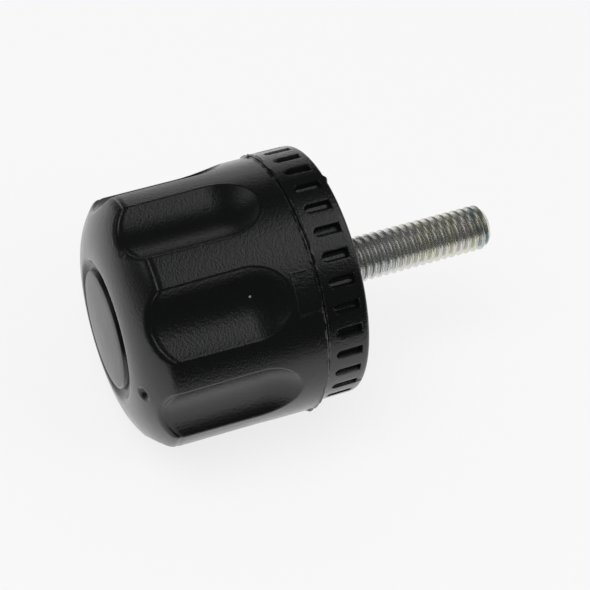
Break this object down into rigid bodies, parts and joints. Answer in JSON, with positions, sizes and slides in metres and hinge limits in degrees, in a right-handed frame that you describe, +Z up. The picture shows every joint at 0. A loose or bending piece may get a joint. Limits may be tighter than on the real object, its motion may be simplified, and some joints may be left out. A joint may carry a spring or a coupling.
{
  "type": "knurled knob",
  "caption": "Small moulded clamping knob with a domed face, finger flutes, a knurled rim and a threaded metal stud, lying on its side.",
  "frame": {"origin": "on the table, below the centre of the bounding box of the knob as it lies on its side", "axes": "+Z up from the table, +X the way the stud points as seen from above, +Y across; the knob's own axis leans a few degrees in the XZ plane with the head down"},
  "size_m": [0.0351, 0.0218, 0.022],
  "materials": {
    "moulding": "black, fine grain, semi-matt",
    "stud": "zinc plated, faint yellow and pink tint"
  },
  "bodies": {
    "root": {"knob_body": "moulding", "threaded_stud": "stud"}
  },
  "joints": []
}
